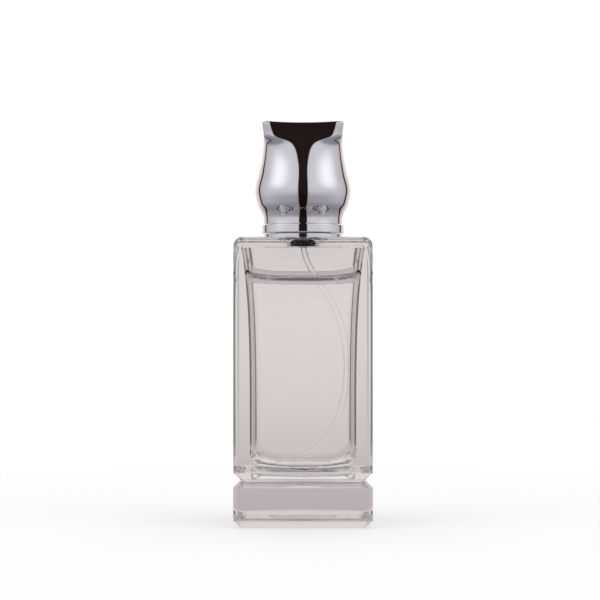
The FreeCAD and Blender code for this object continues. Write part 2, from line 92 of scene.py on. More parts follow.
def newMaterial(name, inputs, loss=0.0):
    # a principled surface, its tree and the piece's own coordinates
    # loss is how fast the light fades inside, per metre
    material = bpy.data.materials.new(name)
    material.use_nodes = True
    tree = material.node_tree
    tree.nodes.clear()
    surface = addNode(tree, "ShaderNodeBsdfPrincipled", inputs)
    output = addNode(tree, "ShaderNodeOutputMaterial", {"Surface": surface.outputs["BSDF"]})
    if loss:
        inside = addNode(tree, "ShaderNodeVolumeAbsorption", {
            "Color": linear("#000000"), "Density": loss})
        tree.links.new(inside.outputs["Volume"], output.inputs["Volume"])
    place = addNode(tree, "ShaderNodeTexCoord").outputs["Object"]
    return material, tree, surface, place


glassIndex = 1.52
glassLoss = 2.2  # per metre: a tenth of the light goes in the thickness of the bottle


# Flint glass, blown in a mould and fire polished: clear, smooth, with a slow ripple in its faces
def makeFlintGlass():
    material, tree, surface, place = newMaterial("flintGlassFirePolished", {
        "Base Color": linear("#fdfcfc"), "IOR": glassIndex, "Transmission Weight": 1.0}, glassLoss)
    ripple = addNode(tree, "ShaderNodeTexNoise", {"Vector": place, "Scale": perMetre(16), "Detail": 1.0})
    bump = addNode(tree, "ShaderNodeBump", {
        "Height": ripple.outputs["Fac"], "Strength": 0.3, "Distance": 0.03 * mm})
    haze = addNode(tree, "ShaderNodeMapRange", {
        "Value": ripple.outputs["Fac"], "To Min": 0.0, "To Max": 0.006})
    tree.links.new(bump.outputs["Normal"], surface.inputs["Normal"])
    tree.links.new(haze.outputs["Result"], surface.inputs["Roughness"])
    return material


# The same glass where the mould is stippled, on the ring that the bottle stands on
def makeStippledGlass():
    material, tree, surface, place = newMaterial("flintGlassStippled", {
        "Base Color": linear("#fbfafa"), "IOR": glassIndex, "Transmission Weight": 1.0}, glassLoss)
    dots = addNode(tree, "ShaderNodeTexVoronoi", {"Vector": place, "Scale": perMetre(0.7)})
    haze = addNode(tree, "ShaderNodeMapRange", {
        "Value": dots.outputs["Distance"], "To Min": 0.25, "To Max": 0.5})
    tree.links.new(haze.outputs["Result"], surface.inputs["Roughness"])
    return material


# Alcohol and water: clear, thinner to the eye than glass, with slow streaks where the two mix
def makeAftershave():
    material, tree, surface, place = newMaterial("aftershaveClear", {
        "Base Color": linear("#faf7f8"), "IOR": 1.36, "Transmission Weight": 1.0, "Roughness": 0.0})
    streak = addNode(tree, "ShaderNodeTexNoise", {"Vector": place, "Scale": perMetre(30), "Detail": 2.0})
    tint = addNode(tree, "ShaderNodeValToRGB", {"Fac": streak.outputs["Fac"]})
    tint.color_ramp.elements[0].color = linear("#fefdfd")
    tint.color_ramp.elements[1].color = linear("#fcfafb")
    tree.links.new(tint.outputs["Color"], surface.inputs["Base Color"])
    return material


# Extruded fluoropolymer tube: glass clear, with faint draw lines along it
def makeTubePlastic(name, index):
    material, tree, surface, place = newMaterial(name, {
        "Base Color": linear("#ffffff"), "IOR": index, "Transmission Weight": 1.0})
    lines = addNode(tree, "ShaderNodeTexNoise", {"Vector": place, "Scale": perMetre(2.5), "Detail": 2.0})
    haze = addNode(tree, "ShaderNodeMapRange", {
        "Value": lines.outputs["Fac"], "To Min": 0.0, "To Max": 0.012})
    tree.links.new(haze.outputs["Result"], surface.inputs["Roughness"])
    return material


# Bright chrome plated on moulded ABS: a cool mirror, with the slow waviness of the plastic under it
def makeChromePlate():
    material, tree, surface, place = newMaterial("chromePlatedAbs", {
        "Base Color": linear("#dcdbdf"), "Metallic": 1.0})
    sink = addNode(tree, "ShaderNodeTexNoise", {"Vector": place, "Scale": perMetre(9), "Detail": 1.0})
    bump = addNode(tree, "ShaderNodeBump", {
        "Height": sink.outputs["Fac"], "Strength": 0.5, "Distance": 0.08 * mm})
    wipe = addNode(tree, "ShaderNodeTexNoise", {"Vector": place, "Scale": perMetre(3), "Detail": 4.0})
    gloss = addNode(tree, "ShaderNodeMapRange", {
        "Value": wipe.outputs["Fac"], "To Min": 0.015, "To Max": 0.06})
    tree.links.new(bump.outputs["Normal"], surface.inputs["Normal"])
    tree.links.new(gloss.outputs["Result"], surface.inputs["Roughness"])
    return material


# Drawn aluminium, polished or bright anodised: silver, with fine lines round it from the polishing wheel
def makeAluminium(name, colour, rough):
    material, tree, surface, place = newMaterial(name, {"Base Color": linear(colour), "Metallic": 1.0})
    stretch = addNode(tree, "ShaderNodeMapping", {"Vector": place, "Scale": (0.05, 0.05, 1.0)})
    lines = addNode(tree, "ShaderNodeTexNoise", {
        "Vector": stretch.outputs["Vector"], "Scale": perMetre(0.25), "Detail": 3.0})
    gloss = addNode(tree, "ShaderNodeMapRange", {
        "Value": lines.outputs["Fac"], "To Min": 0.5 * rough, "To Max": 1.5 * rough})
    bump = addNode(tree, "ShaderNodeBump", {
        "Height": lines.outputs["Fac"], "Strength": 0.15, "Distance": 0.01 * mm})
    tree.links.new(bump.outputs["Normal"], surface.inputs["Normal"])
    tree.links.new(gloss.outputs["Result"], surface.inputs["Roughness"])
    return material


# Moulded plastic or rubber: one colour, a little cloudy, with the fine grain of the mould
def makeMoulded(name, lightColour, darkColour, rough, glow=0.0, index=1.49):
    material, tree, surface, place = newMaterial(name, {
        "IOR": index, "Subsurface Weight": glow, "Subsurface Radius": (1.0, 1.0, 1.0),
        "Subsurface Scale": 1.5 * mm})
    cloud = addNode(tree, "ShaderNodeTexNoise", {"Vector": place, "Scale": perMetre(4), "Detail": 3.0})
    tint = addNode(tree, "ShaderNodeValToRGB", {"Fac": cloud.outputs["Fac"]})
    tint.color_ramp.elements[0].color = linear(darkColour)
    tint.color_ramp.elements[1].color = linear(lightColour)
    grain = addNode(tree, "ShaderNodeTexNoise", {"Vector": place, "Scale": perMetre(0.3), "Detail": 2.0})
    gloss = addNode(tree, "ShaderNodeMapRange", {
        "Value": grain.outputs["Fac"], "To Min": 0.8 * rough, "To Max": 1.2 * rough})
    bump = addNode(tree, "ShaderNodeBump", {
        "Height": grain.outputs["Fac"], "Strength": 0.2, "Distance": 0.02 * mm})
    tree.links.new(tint.outputs["Color"], surface.inputs["Base Color"])
    tree.links.new(gloss.outputs["Result"], surface.inputs["Roughness"])
    tree.links.new(bump.outputs["Normal"], surface.inputs["Normal"])
    return material


# Spring steel, cold drawn: grey and bright, with drawing marks
def makeSpringSteel():
    material, tree, surface, place = newMaterial("springSteelDrawn", {"Metallic": 1.0})
    marks = addNode(tree, "ShaderNodeTexNoise", {"Vector": place, "Scale": perMetre(0.4), "Detail": 3.0})
    tint = addNode(tree, "ShaderNodeValToRGB", {"Fac": marks.outputs["Fac"]})
    tint.color_ramp.elements[0].color = linear("#9a9a9a")
    tint.color_ramp.elements[1].color = linear("#c4c4c4")
    gloss = addNode(tree, "ShaderNodeMapRange", {
        "Value": marks.outputs["Fac"], "To Min": 0.15, "To Max": 0.35})
    tree.links.new(tint.outputs["Color"], surface.inputs["Base Color"])
    tree.links.new(gloss.outputs["Result"], surface.inputs["Roughness"])
    return material


flintGlass = makeFlintGlass()
stippledGlass = makeStippledGlass()
aftershave = makeAftershave()
dryTube = makeTubePlastic("dipTubeInAir", 1.38)
wetTube = makeTubePlastic("dipTubeInLiquid", 1.02)  # relative to the liquid round it
chromePlate = makeChromePlate()
polishedAluminium = makeAluminium("aluminiumPolished", "#d9d9dd", 0.08)
brightAluminium = makeAluminium("aluminiumBrightAnodised", "#dcdde0", 0.16)
naturalPolypropylene = makeMoulded("polypropyleneNaturalMoulded", "#e8e9e6", "#dfe1de", 0.4, 0.4)
whitePolypropylene = makeMoulded("polypropyleneWhiteMoulded", "#ecece9", "#e4e4e1", 0.28, 0.1)
whiteAcetal = makeMoulded("acetalWhiteMoulded", "#efeeea", "#e7e6e2", 0.22, 0.1, 1.48)
gasketRubber = makeMoulded("nitrileRubberMoulded", "#bfbfbd", "#b6b6b4", 0.6, 0.0, 1.52)
springSteel = makeSpringSteel()
print("materials:", len(bpy.data.materials))


def finishPiece(bm, name, materials, body, node):
    bmesh.ops.remove_doubles(bm, verts=bm.verts, dist=0.0005 * mm)
    bmesh.ops.recalc_face_normals(bm, faces=bm.faces)
    mesh = bpy.data.meshes.new(name)
    bm.to_mesh(mesh)
    bm.free()
    mesh.shade_smooth()
    for material in materials:
        mesh.materials.append(material)
    piece = bpy.data.objects.new(name, mesh)
    scene.collection.objects.link(piece)
    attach(piece, body)
    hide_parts(node)
    return piece


def weighFaces(piece):
    # the large flat faces rule the shading of the small round edges between them
    weigh = piece.modifiers.new("flatFaces", "WEIGHTED_NORMAL")
    weigh.mode = "FACE_AREA"
    weigh.weight = 90
    weigh.keep_sharp = True


def roundedProfile(points, steps=4):
    # points are (across, height, radius); a radius turns that corner into an arc
    spots = []
    for number, (across, height, radius) in enumerate(points):
        corner = Vector((across, height))
        if not radius:
            spots.append(corner)
            continue
        into = (Vector(points[number - 1][:2]) - corner).normalized()
        onward = (Vector(points[(number + 1) % len(points)][:2]) - corner).normalized()
        halfTurn = (math.pi - into.angle(onward)) / 2
        centre = corner + (into + onward).normalized() * radius / math.cos(halfTurn)
        first = corner + into * radius * math.tan(halfTurn) - centre
        last = corner + onward * radius * math.tan(halfTurn) - centre
        for step in range(steps + 1):  # along the chord, then out to the arc
            spots.append(centre + first.lerp(last, step / steps).normalized() * radius)
    return spots


def loftRings(bm, count, stations, spot):
    # one ring drawn through the stations; each vertex keeps its number round the ring
    number = bm.verts.layers.int.new("ringNumber")
    ring = bmesh.ops.create_circle(bm, segments=count, radius=1.0)["verts"]
    for index, vert in enumerate(ring):
        vert[number] = index
    edges = list({edge for vert in ring for edge in vert.link_edges})
    for step, station in enumerate(stations):
        if step:
            made = bmesh.ops.extrude_edge_only(bm, edges=edges)["geom"]
            ring = [item for item in made if isinstance(item, bmesh.types.BMVert)]
            fresh = set(ring)
            edges = [
                item for item in made if isinstance(item, bmesh.types.BMEdge) and set(item.verts) <= fresh]
        for vert in ring:
            vert.co = spot(vert[number], *station) * mm


ringSteps = {"side": 6, "corner": 12}  # steps along half a side, and round a corner
ringCount = 4 * (2 * ringSteps["side"] + ringSteps["corner"])


def squareSpot(index, half, corner, height):
    # a place on a square with round corners; a corner as large as the half-width makes a circle
    if corner >= half:
        angle = 2 * math.pi * index / ringCount
        return Vector((half * math.cos(angle), half * math.sin(angle), height))
    side, turn = ringSteps["side"], ringSteps["corner"]
    quarter, step = divmod(index, 2 * side + turn)
    straight = half - corner
    if step < side:
        spot = Vector((half, straight * (1 - (1 - step / side) ** 2), height))
    elif step > side + turn:
        spot = Vector((straight * (1 - (1 - (2 * side + turn - step) / side) ** 2), half, height))
    else:
        angle = math.pi / 2 * (step - side) / turn
        spot = Vector((straight + corner * math.cos(angle), straight + corner * math.sin(angle), height))
    for _ in range(quarter):
        spot = Vector((-spot.y, spot.x, height))
    return spot


cavity = {  # the space inside the glass, in millimetres
    "floor": 20.75, "roof": shoulderZ / mm - 3.4, "bowlRise": 7.0, "bowlFullness": 5.5, "corner": 3.0,
    "roofRadius": 0.7, "wallLow": 5.9, "wallHigh": 2.7, "wallTaper": 4.4, "bowlSteps": 24,
}


def throughStations(stations, share):
    # a smooth curve through stations of (share, value, value ...), without overshoot
    for number in range(len(stations) - 1):
        if share <= stations[number + 1][0]:
            break
    start, finish = stations[number], stations[number + 1]
    before = stations[max(number - 1, 0)]
    after = stations[min(number + 2, len(stations) - 1)]
    span = finish[0] - start[0]
    place = (share - start[0]) / span
    values = []
    for item in range(1, len(start)):
        step = (finish[item] - start[item]) / span
        slopes = []
        for left, right in ((before, start), (finish, after)):
            beside = step
            if right[0] != left[0]:
                beside = (right[item] - left[item]) / (right[0] - left[0])
            slopes.append(0.0 if beside * step <= 0 else 2 * beside * step / (beside + step))
        values.append(
            start[item] * (1 + 2 * place) * (1 - place) ** 2
            + finish[item] * place ** 2 * (3 - 2 * place)
            + span * (slopes[0] * place * (1 - place) ** 2 - slopes[1] * place ** 2 * (1 - place)))
    return values


def cavityHalf(height):
    share = (height - cavity["floor"]) / (cavity["roof"] - cavity["floor"])
    thinning = (cavity["wallLow"] - cavity["wallHigh"]) * share ** cavity["wallTaper"]
    return bodyHalf / mm - cavity["wallLow"] + thinning


def cavityFloor(spread):
    # stations from the middle of the bowl-shaped floor up into the wall, round at first and then square
    stations = []
    for step in range(cavity["bowlSteps"] + 1):
        angle = math.pi / 2 * step / cavity["bowlSteps"]
        rise = 1 - math.cos(angle) ** (2 / cavity["bowlFullness"])
        height = cavity["floor"] + cavity["bowlRise"] * rise
        half = (cavityHalf(height) + spread) * math.sin(angle) ** (2 / cavity["bowlFullness"])
        square = math.sqrt(rise)
        corner = half * (1 - square) + (cavity["corner"] + spread) * square
        stations.append((half, corner, height - spread * (1 - rise)))
    return stations


glass = {  # millimetres
    "edge": 1.7, "shoulderEdge": 3.0, "chamfer": 2.6, "plinth": 14.5, "groove": 2.6, "softEdge": 0.45,
    "pushUp": 0.4, "pushUpReach": 17.0, "neck": 6.6, "neckRoot": 1.0, "bead": 7.5, "beadHeight": 3.6,
    "lip": 0.5, "bore": 4.7, "flare": 3.0, "blendHeight": 12.0, "rootSoft": 0.4, "neckSoft": 0.3,
    "edgeLoss": 0.25, "edgeLeast": 0.15,  # the upright edge, sharper in the groove and where the top begins
    "wallRows": (10, 22, 34, 46, 58),  # heights above the groove
    "pushUpSteps": 6, "blendSteps": 6, "shoulderSteps": 10, "roofSteps": 8, "insideSteps": 36,
}


def buildGlass(s):
    half, top, lip = bodyHalf / mm, shoulderZ / mm, lipZ / mm
    stations = []
    ball = (s["pushUpReach"] ** 2 + s["pushUp"] ** 2) / (2 * s["pushUp"])
    for step in range(s["pushUpSteps"] + 1):
        across = s["pushUpReach"] * step / s["pushUpSteps"]
        stations.append((across, across, s["pushUp"] - ball + math.sqrt(ball ** 2 - across ** 2)))
    foot = [
        (half - s["chamfer"], 0.0, s["softEdge"]),
        (half, s["chamfer"], s["softEdge"]),
        (half, s["plinth"], s["softEdge"]),
        (half - s["groove"], s["plinth"] + s["groove"], s["softEdge"]),
        (half, s["plinth"] + 2 * s["groove"], s["softEdge"]),
    ]
    wall = [(s["pushUpReach"], 0.0, 0.0)] + foot
    wall += [(half, s["plinth"] + 2 * s["groove"] + rise, 0.0) for rise in s["wallRows"]]
    wall += [(half, top - s["blendHeight"], 0.0)]
    for across, height in roundedProfile(wall)[1:]:
        stations.append((across, s["edge"] - s["edgeLoss"] * (half - across), height))
    for step in range(1, s["blendSteps"] + 1):  # the upright edges open into the round shoulder
        share = step / s["blendSteps"]
        corner = s["edge"] + (s["shoulderEdge"] - s["edge"]) * share ** 2
        height = top - s["blendHeight"] + (s["blendHeight"] - s["shoulderEdge"]) * share
        stations.append((half, corner, height))
    for step in range(1, s["shoulderSteps"] + 1):
        angle = math.pi / 2 * step / s["shoulderSteps"]
        inset = s["shoulderEdge"] * (1 - math.cos(angle))
        height = top - s["shoulderEdge"] * (1 - math.sin(angle))
        stations.append((half - inset, s["shoulderEdge"] - inset + s["edgeLeast"], height))
    finish = roundedProfile([
        (s["neck"] + s["neckRoot"], top, 0.0),
        (s["neck"], top + s["neckRoot"], s["rootSoft"]),
        (s["neck"], lip - s["beadHeight"] - (s["bead"] - s["neck"]), s["neckSoft"]),
        (s["bead"], lip - s["beadHeight"], s["neckSoft"]),
        (s["bead"], lip, s["lip"]),
        (s["bore"], lip, s["lip"]),
        (s["bore"], top, 0.0),
    ])
    stations += [(across, across, height) for across, height in finish]
    for step in range(s["roofSteps"] + 1):  # the bore flares into the roof of the cavity
        angle = math.pi / 2 * step / s["roofSteps"]
        across = s["bore"] + s["flare"] * (1 - math.cos(angle))
        stations.append((across, across, cavity["roof"] + s["flare"] * (1 - math.sin(angle))))
    edge = cavityHalf(cavity["roof"] - cavity["roofRadius"])
    for step in range(s["roofSteps"] + 1):  # and the roof rounds into the wall
        angle = math.pi / 2 * step / s["roofSteps"]
        inset = cavity["roofRadius"] * (1 - math.sin(angle))
        height = cavity["roof"] - cavity["roofRadius"] * (1 - math.cos(angle))
        stations.append((edge - inset, cavity["corner"] - inset, height))
    floorStations = list(reversed(cavityFloor(0.0)))
    start, finishHeight = cavity["roof"] - cavity["roofRadius"], floorStations[0][2]
    for step in range(1, s["insideSteps"]):
        height = start + (finishHeight - start) * step / s["insideSteps"]
        stations.append((cavityHalf(height), cavity["corner"], height))
    stations += floorStations
    bm = bmesh.new()
    loftRings(bm, ringCount, stations, squareSpot)
    for face in bm.faces:  # the ring that the bottle stands on
        if max(vert.co.z for vert in face.verts) < 0.01 * mm:
            face.material_index = 1
    weighFaces(finishPiece(
        bm, "glassBottle", [flintGlass, stippledGlass], "bottle", "glass_bottle"))


liquid = {  # millimetres; it laps a little into the wall, so that no film of air shows between them
    "level": 87.1, "capillary": 2.25, "lap": 0.06, "cornerLeast": 0.4, "wallRows": 24,
    "cornerClimb": 2.2, "cornerPower": 4, "rimPower": 0.25,
    "climbs": (1.0, 0.97, 0.93, 0.88, 0.82, 0.75, 0.67, 0.58, 0.48, 0.38, 0.28, 0.19, 0.12, 0.07, 0.035,
               0.015),  # shares of the rim's height
    "rings": ((7.5, 0.2), (9.5, 0.1), (12.0, 0.03), (15.0, 0.0)),  # inside it: inset, share of cornerClimb
}


def meniscusInset(climb, length):
    # how far from the wall a wetting liquid stands this high above its level
    return length * (math.acosh(2 * length / climb) - math.sqrt(4 - (climb / length) ** 2))


def liquidSpot(index, half, corner, height, climb=0.0):
    # a place on the square of the cavity; the liquid stands higher towards its corners
    spot = squareSpot(index, half, corner, height)
    if not climb:
        return spot
    near, far = sorted((abs(spot.x), abs(spot.y)))
    raised = height + climb * (near / far) ** liquid["cornerPower"]
    return squareSpot(index, half + cavityHalf(raised) - cavityHalf(height), corner, raised)


def buildLiquid(s):
    stations = cavityFloor(s["lap"])
    most = math.sqrt(2) * s["capillary"]
    start, contact = stations[-1][2], s["level"] + most
    for step in range(1, s["wallRows"] + 1):
        height = start + (contact - start) * step / s["wallRows"]
        half, corner = cavityHalf(height) + s["lap"], cavity["corner"] + s["lap"]
        stations.append((half, corner, height, s["cornerClimb"] * step / s["wallRows"]))
    edge, corner = stations[-1][:2]
    for share in s["climbs"]:  # the surface climbs the glass
        inset = meniscusInset(share * most, s["capillary"]) - meniscusInset(most, s["capillary"])
        half, height = edge - inset - s["lap"], s["level"] + share * most
        rounded = max(corner - inset, s["cornerLeast"])
        stations.append((half, rounded, height, s["cornerClimb"] * share ** s["rimPower"]))
    for inset, share in s["rings"]:
        stations.append((edge - inset, s["cornerLeast"], s["level"], s["cornerClimb"] * share))
    stations.append((0.0, 0.0, s["level"]))
    bm = bmesh.new()
    loftRings(bm, ringCount, stations, liquidSpot)
    finishPiece(bm, "aftershaveFill", [aftershave], "bottle", "aftershave_fill")


tube = {  # the dip tube: its route and its sizes, in millimetres
    "route": [(0, 102.7), (0, 97.6), (3.8, 90.0), (9.9, 82.5), (14.7, 71.9), (16.5, 58.2), (15.0, 43.1),
              (9.0, 31.0), (0.6, 24.2), (-9.9, 21.9)],
    "radius": 0.8, "wall": 0.3,
}


def buildTube(s):
    curve = bpy.data.curves.new("dipTubeRoute", "CURVE")
    curve.dimensions = "3D"
    spline = curve.splines.new("NURBS")
    spline.points.add(len(s["route"]) - 1)
    for point, (across, height) in zip(spline.points, s["route"]):
        point.co = (across * mm, 0.0, height * mm, 1.0)
    spline.order_u = 3
    spline.use_endpoint_u = True
    spline.resolution_u = 10
    curve.bevel_depth = s["radius"] * mm
    curve.bevel_resolution = 6
    route = bpy.data.objects.new("dipTubeRoute", curve)
    bm = bmesh.new()
    bm.from_mesh(bpy.data.meshes.new_from_object(route))
    bpy.data.objects.remove(route)
    for face in bm.faces:
        face.material_index = int(face.calc_center_median().z < liquid["level"] * mm)
    piece = finishPiece(bm, "dipTube", [dryTube, wetTube], "bottle", "dip_tube")
    wall = piece.modifiers.new("tubeWall", "SOLIDIFY")
    wall.thickness = s["wall"] * mm
    wall.offset = -1.0


cap = {  # millimetres
    "foot": 15.3, "footHeight": 3.4, "footEdge": 0.5, "topEdge": 0.8, "ringCount": 160, "rows": 60,
    # from the foot ring up: share of the height, half-width, and squareness, where 2 is round
    "stations": [
        (0.00, 14.7, 2.0), (0.05, 14.7, 2.0), (0.11, 15.3, 2.0), (0.20, 16.9, 2.0), (0.345, 17.9, 2.0),
        (0.55, 16.4, 2.03), (0.64, 15.65, 2.15), (0.735, 15.1, 2.4), (0.80, 14.8, 2.9),
        (0.835, 14.7, 4.2), (0.86, 14.62, 7.5), (0.885, 14.6, 9.5), (1.00, 15.0, 14.0),
    ],
    "bore": 12.6, "boreTop": 11.9, "crown": 4.0, "corner": 19.3, "dishRadius": 170.0,
    "footSteps": 5, "edgeSteps": 6, "neckSoft": 0.15, "topRings": (0.9, 0.75, 0.6, 0.45, 0.3, 0.15, 0.0),
}


def tulipSpot(index, half, squareness, height, dish=0.0):
    # a place on a section between round and square; the dish lets the top sink between its corners
    angle = 2 * math.pi * index / cap["ringCount"]
    across, along = math.cos(angle), math.sin(angle)
    reach = half / (abs(across) ** squareness + abs(along) ** squareness) ** (1 / squareness)
    sink = dish * (cap["corner"] ** 2 - reach ** 2) / (2 * cap["dishRadius"])
    return Vector((reach * across, reach * along, height - sink))


def buildCap(s):
    low, high = capLow.z / mm, capHigh.z / mm
    neck = low + s["footHeight"]
    stations = [(s["bore"], 2.0, low)]
    foot = roundedProfile([
        (s["bore"], low, 0.0), (s["foot"], low, s["footEdge"]), (s["foot"], neck, s["footEdge"]),
        (s["stations"][0][1], neck, s["neckSoft"]), (s["stations"][0][1], neck + 1.0, 0.0),
    ], s["footSteps"])
    stations += [(across, 2.0, height) for across, height in foot[1:-1]]
    for row in range(1, s["rows"] + 1):
        share = row / s["rows"]
        half, squareness = throughStations(s["stations"], share)
        height = neck + (high - s["topEdge"] - neck) * share
        dish = max(0.0, 5 * share - 4)  # sets in over the top fifth
        stations.append((half, squareness, height, dish))
    half, squareness = throughStations(s["stations"], 1.0)
    for step in range(1, s["edgeSteps"] + 1):
        angle = math.pi / 2 * step / s["edgeSteps"]
        inset = s["topEdge"] * (1 - math.cos(angle))
        stations.append((half - inset, squareness, high - s["topEdge"] * (1 - math.sin(angle)), 1.0))
    for share in s["topRings"]:
        stations.append((half * share, squareness, high, 1.0))
    bm = bmesh.new()
    loftRings(bm, s["ringCount"], stations, tulipSpot)
    crown = high - s["crown"]
    inside = [(s["bore"], 2.0, low), (s["boreTop"], 2.0, crown), (0.0, 2.0, crown)]
    inner = bmesh.new()
    loftRings(inner, s["ringCount"], inside, tulipSpot)
    shell = bpy.data.meshes.new("capInside")
    inner.to_mesh(shell)
    inner.free()
    bm.from_mesh(shell)
    weighFaces(finishPiece(bm, "capShell", [chromePlate], "cap", "cap_shell"))


def lathe(bm, profile, count=96):
    # a closed outline of (across, height) spots turned once round the axis
    verts = [bm.verts.new((across * mm, 0.0, height * mm)) for across, height in profile]
    edges = [bm.edges.new(pair) for pair in zip(verts, verts[1:] + verts[:1])]
    bmesh.ops.spin(
        bm, geom=verts + edges, cent=(0, 0, 0), axis=(0, 0, 1), angle=2 * math.pi, steps=count,
        use_merge=True)


collar = {  # millimetres
    "flange": 14.6, "flangeHeight": 1.85, "lift": 0.05, "sleeve": 10.0, "root": 0.2, "wall": 0.7,
    "mouth": 7.0, "lip": 0.6, "edge": 0.3,
}


def buildCollar(s):
    low, high = collarLow.z / mm, collarHigh.z / mm
    inner = s["sleeve"] - s["wall"]
    foot = low + s["lift"]  # just clear of the glass, so that light can turn back inside the shoulder
    flangeTop = low + s["flangeHeight"]
    profile = roundedProfile([
        (inner, foot, 0.0), (s["flange"], foot, s["edge"]), (s["flange"], flangeTop, s["edge"]),
        (s["sleeve"], flangeTop, s["root"]), (s["sleeve"], high, s["edge"]), (s["mouth"], high, s["edge"]),
        (s["mouth"], high - s["lip"], 0.0), (inner, high - s["lip"], 0.0)])
    bm = bmesh.new()
    lathe(bm, profile)
    weighFaces(finishPiece(
        bm, "collarShell", [polishedAluminium], "bottle", "collar_shell"))


springs = [  # the springs: each with its joint, the end that is held and its travel; the travel is in millimetres
    {"name": "returnSpring", "node": "return_spring", "body": "bottle", "joint": "pump_press",
     "held": "low", "travel": 3.5},
    {"name": "pistonSpring", "node": "piston_spring", "body": "stem", "joint": "piston_lag",
     "held": "high", "travel": 0.45},
]


def buildSpring(s):
    bm = bmesh.new()
    bm.from_mesh(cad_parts[s["node"]].data)
    piece = finishPiece(bm, s["name"], [springSteel], s["body"], s["node"])
    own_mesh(piece)


buildGlass(glass)
buildLiquid(liquid)
buildTube(tube)
buildCap(cap)
buildCollar(collar)
for spring in springs:
    buildSpring(spring)
print("pieces built")

nodeFinishes = {
    "neck_gasket": gasketRubber, "stem_gasket": gasketRubber, "crimp_ferrule": brightAluminium,
    "pump_housing": naturalPolypropylene, "pump_piston": naturalPolypropylene,
    "collar_insert": naturalPolypropylene, "pump_turret": whiteAcetal, "pump_stem": whiteAcetal,
    "nozzle_insert": whiteAcetal, "inlet_ball": springSteel, "actuator_button": whitePolypropylene,
    "actuator_sleeve": brightAluminium, "cap_liner": whitePolypropylene,
}
for nodeName, finish in nodeFinishes.items():
    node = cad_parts[nodeName]
    node.data.materials.clear()
    node.data.materials.append(finish)
print("finishes on", len(nodeFinishes), "packed nodes")

studio = {
    "white": "#ffffff", "behind": "#e8e2e3", "ambient": 0.6, "metal": 1.25,  # the last two are strengths
    # lamps: watts; size, reach and the height they aim at in metres; places as multiples of the reach
    "lampPower": 2.6, "lampSize": 0.7, "lampReach": 0.9, "lampAim": 0.07,
    "lamps": {"lampLeft": (-1.0, -0.45, 0.6), "lampRight": (1.0, -0.45, 0.6), "lampTop": (0, 0.2, 1.1)},
    # through the glass: the light overhead, the dark gaps beside the wall and the dark room above the
    # camera, each with the values between which it sets in
    "overhead": 1.05, "overheadFrom": (0.25, 0.45), "gapShade": 0.2, "gapFrom": (0.35, 0.7),
    "roomShade": 0.1, "roomAhead": (-0.8, -0.62), "roomAbove": (0.3, 0.42),
    # the paper floor, in metres: half its size, and where its shadow fades out and the gaps set in;
    # shadowLeast is the share of plain white at the foot
    "paper": "#fafafa", "floorHalf": 4.0, "shadowReach": (0.05, 0.3), "shadowLeast": 0.6,
    "gapReach": (0.2, 0.45),
    # the table through the glass, from the axis (0) to the horizon (1); half way is at halfReach, in metres
    "halfReach": 0.5,
    # painted light and shade: a dark painted shadow under the foot, a white painted ring of light round it,
    # then grey, paler with distance
    "tableWithPaintedLightAndShade": [(0.042, "#5c565a"), (0.064, "#ffffff"), (0.088, "#f2ebec"), (0.107, "#c6bec1"),
                   (0.231, "#c8c0c3"), (0.286, "#ccc5c7"), (0.359, "#d0c9cb"), (0.444, "#d6d0d1"),
                   (0.583, "#ddd7d8"), (0.706, "#e2dcdd"), (0.828, "#e6e0e1"), (0.889, "#e8e2e3")],
    # in the metal, by turn from the wall behind (0) to the camera (1)
    "metalTurn": [(0.0, "#ffffff"), (0.15, "#efe9e6"), (0.262, "#c9beb8"), (0.274, "#1e1816"),
                  (0.302, "#1e1816"), (0.314, "#b8b2b4"), (0.38, "#c4c1c4"), (0.5, "#d0d0d3"),
                  (0.84, "#d3d3d6"), (0.93, "#ceccd0"), (0.942, "#1f1817"), (1.0, "#241b19")],
    # and by height, from straight down (0) to straight up (1)
    "metalHeight": [(0.0, "#aaa8ad"), (0.2, "#ada9ae"), (0.31, "#c7c4c9"), (0.38, "#e4e3e6"),
                    (0.44, "#f6f5f6"), (0.6, "#ffffff"), (0.8, "#ffffff"), (0.88, "#e6e6e8"),
                    (0.94, "#bab8ba"), (1.0, "#a8a6a8")],
    # a soft lamp at each side: its direction, the cosines where it starts and is full, and its colour
    "sideLamp": {
        "way": (0.805, -0.358, 0.474), "start": 0.82, "full": 1.0, "falloff": 2.0, "colour": "#aaaaac"},
}


def sideGaps(tree, turn, s):
    # dark flags stand at the diagonals: bright only within about 14 degrees of each axis
    quarter = addNode(tree, "ShaderNodeMath", {0: turn, 1: 4.0}, operation="MULTIPLY")
    wave = addNode(tree, "ShaderNodeMath", {0: quarter.outputs[0]}, operation="COSINE")
    return addNode(tree, "ShaderNodeMapRange", {
        "Value": wave.outputs[0], "From Min": s["gapFrom"][0], "From Max": s["gapFrom"][1],
        "To Min": s["gapShade"], "To Max": 1.0,
    }).outputs["Result"]


def fillRamp(node, stops):
    while len(node.color_ramp.elements) < len(stops):
        node.color_ramp.elements.new(0.5)
    for element, (place, colour) in zip(node.color_ramp.elements, stops):
        element.position = place
        element.color = linear(colour)


